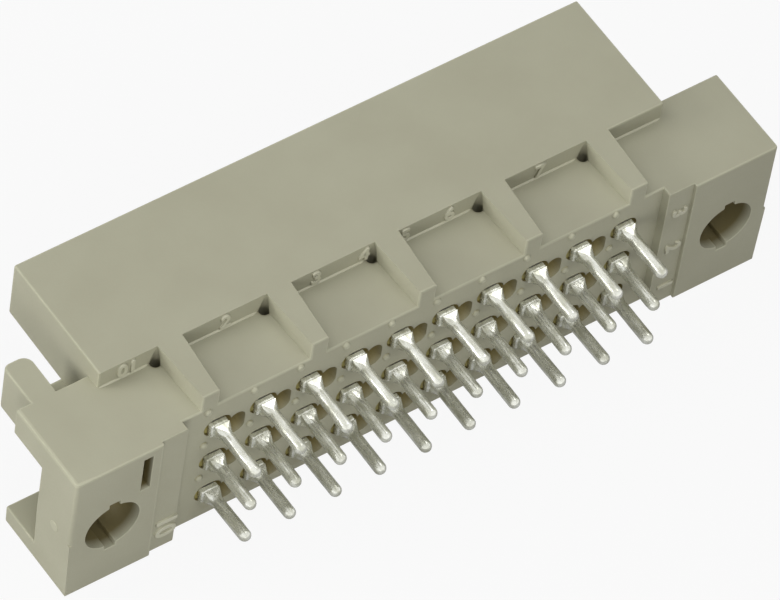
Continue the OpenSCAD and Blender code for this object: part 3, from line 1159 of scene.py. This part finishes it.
# %% Pocket foot rounds
FOOT_R = 0.085
FOOT_TAPER = 0.2
FOOT_END_SCALE = 0.3
FROM_BODY_END = 0.1
FROM_RELIEF = 0.45


def model_foot_round(x0, x1):
    """A slim round bead along a pocket wall's foot from x0 to x1, with tapered ends."""
    middle = ((x0 + x1) / 2, POCKET_WALL_Y, POCKET_FLOOR_Z)
    bpy.ops.object.select_all(action="DESELECT")
    bpy.ops.mesh.primitive_cylinder_add(
        vertices=16, radius=FOOT_R, depth=x1 - x0 - 2 * FOOT_TAPER, location=middle,
        rotation=(0, math.pi / 2, 0))
    bead = new_piece("foot_round")
    for side, end in ((-1, x0), (1, x1)):
        pick(bead, "FACE", lambda face: face.normal.x * side > FACING)
        smaller = (1, FOOT_END_SCALE, FOOT_END_SCALE)
        pull((side * FOOT_TAPER, 0, 0), smaller, (end, POCKET_WALL_Y, POCKET_FLOOR_Z))
    bpy.ops.object.mode_set(mode="OBJECT")
    to_place(bead)
    return bead


def pocket_spans():
    """Where each pocket wall's foot starts and ends along X, clear of the corner reliefs."""
    starts = [FROM_BODY_END - BODY_X] + [x + RIB_ROOT_HALF for x in RIB_XS]
    ends = [x - RIB_ROOT_HALF - FROM_RELIEF for x in RIB_XS] + [BODY_X - FROM_BODY_END]
    return list(zip(starts, ends))


foot_rounds = join_all([model_foot_round(*span) for span in pocket_spans()], "pocket_foot_rounds")
smooth_under(50)
hand_over(foot_rounds, PLASTIC_RELIEF_HIGHLIGHT)
print("foot round faces", len(foot_rounds.data.polygons))

# %% [markdown]
# Raised numbers
#
# Position numbers stand on the back walls of the pockets and on the strips beside the pins. They are
# cut into the mould with a small round cutter, so they stand up by about a tenth of a millimetre with
# soft edges. A picture on the surface would give no shadow. So each is made as text, given a
# thickness and a small bevel, and turned into a mesh before it is put in place.

# %% Numbers
NUMBER_PROUD = 0.1
NUMBER_BEVEL = 0.02
NUMBER_FORWARD = 0.01
STROKE_EXTRA = 0.02
FONT_HEIGHT = 0.71
POCKET_NUMBERS = {
    "01": -14.3, "2": -8.92, "3": -3.9, "4": -1.21, "5": 1.08, "6": 3.58, "7": 8.7,
}
POCKET_NUMBER_Z = 5.08
ROW_NUMBERS = {"1": (14.3, -2.8), "2": (14.3, 0.16), "3": (14.25, 2.84)}
NUMBER_HEIGHT = 0.8
END_NUMBER, END_NUMBER_X, END_NUMBER_Z = "10", -14.15, -2.44
END_NUMBER_HEIGHT = 1.1
ON_ITS_SIDE = math.pi / 2


def raised_number(text, x, y, z, height=NUMBER_HEIGHT, turn=0.0):
    """A plain number that stands a little proud of a face turned to -Y."""
    bpy.ops.object.select_all(action="DESELECT")
    bpy.ops.object.text_add()
    number = bpy.context.object
    number.data.body = text
    number.data.size = height / FONT_HEIGHT
    number.data.align_x = "CENTER"
    number.data.align_y = "CENTER"
    number.data.extrude = NUMBER_PROUD - NUMBER_BEVEL
    number.data.offset = STROKE_EXTRA
    number.data.bevel_depth = NUMBER_BEVEL
    number.data.resolution_u = 4
    bpy.ops.object.convert(target="MESH")
    upright = Matrix.Rotation(turn, 4, "Y") @ Matrix.Rotation(math.pi / 2, 4, "X")
    number.data.transform(upright)
    to_place(number, (x, y - NUMBER_FORWARD, z))
    return number


numbers = [
    raised_number(text, x, POCKET_WALL_Y, POCKET_NUMBER_Z)
    for text, x in POCKET_NUMBERS.items()
]
for text, (x, z) in ROW_NUMBERS.items():
    numbers.append(raised_number(text, x, STRIP_FACE_Y, z, turn=ON_ITS_SIDE))
numbers.append(raised_number(
    END_NUMBER, END_NUMBER_X, STRIP_FACE_Y, END_NUMBER_Z, END_NUMBER_HEIGHT, ON_ITS_SIDE))
number_field = join_all(numbers, "raised_numbers")
# The numbers take the lightest plastic, a painted highlight.
hand_over(number_field, PLASTIC_RELIEF_HIGHLIGHT)
print("numbers", len(number_field.data.polygons), "faces")

# %% [markdown]
# The floor
#
# A plain white floor. More light would whiten it too, but it would wash out the connector. So to the
# camera and in mirror-like rays most of it is an even white, and the rest is a matt white that keeps
# the connector's shadow. The light that it throws back onto the upright faces comes from the matt
# white alone.

# %% Floor
FLOOR_SIZE = 3.0
FLOOR_GAP = 1e-5
FLOOR_ALBEDO = 0.4
FLOOR_ROUGHNESS = 0.9
GLOW_TO_CAMERA = 0.92
GLOW_TO_GLOSS = 0.2
bpy.ops.object.select_all(action="DESELECT")
bpy.ops.mesh.primitive_plane_add(size=FLOOR_SIZE, location=(0.0, 0.0, BODY_BOTTOM * MM - FLOOR_GAP))
floor = bpy.context.object
floor.name = "floor"
floor_material = bpy.data.materials.new("pale_floor")
floor_material.use_nodes = True
floor_nodes, floor_links = floor_material.node_tree.nodes, floor_material.node_tree.links
matt = floor_nodes["Principled BSDF"]
matt.inputs["Base Color"].default_value = (FLOOR_ALBEDO, FLOOR_ALBEDO, FLOOR_ALBEDO, 1.0)
matt.inputs["Roughness"].default_value = FLOOR_ROUGHNESS
matt.inputs["Specular IOR Level"].default_value = 0.0
glow = floor_nodes.new("ShaderNodeEmission")
glow.inputs["Strength"].default_value = 1.0
floor_ray = floor_nodes.new("ShaderNodeLightPath")


def floor_value(operation, first, second):
    """One Math node of the floor's material."""
    return math_node(floor_nodes, floor_links, operation, first, second)


seen_or_through = floor_value(
    "MAXIMUM", floor_ray.outputs["Is Camera Ray"], floor_ray.outputs["Is Transmission Ray"])
to_camera = floor_value("MULTIPLY", seen_or_through, GLOW_TO_CAMERA)
to_gloss = floor_value("MULTIPLY", floor_ray.outputs["Is Glossy Ray"], GLOW_TO_GLOSS)
floor_mix = floor_nodes.new("ShaderNodeMixShader")
floor_links.new(floor_value("MAXIMUM", to_camera, to_gloss), floor_mix.inputs["Fac"])
floor_links.new(matt.outputs[0], floor_mix.inputs[1])
floor_links.new(glow.outputs[0], floor_mix.inputs[2])
floor_links.new(floor_mix.outputs[0], floor_nodes["Material Output"].inputs["Surface"])
floor.data.materials.append(floor_material)
print("floor nodes", len(floor_nodes))
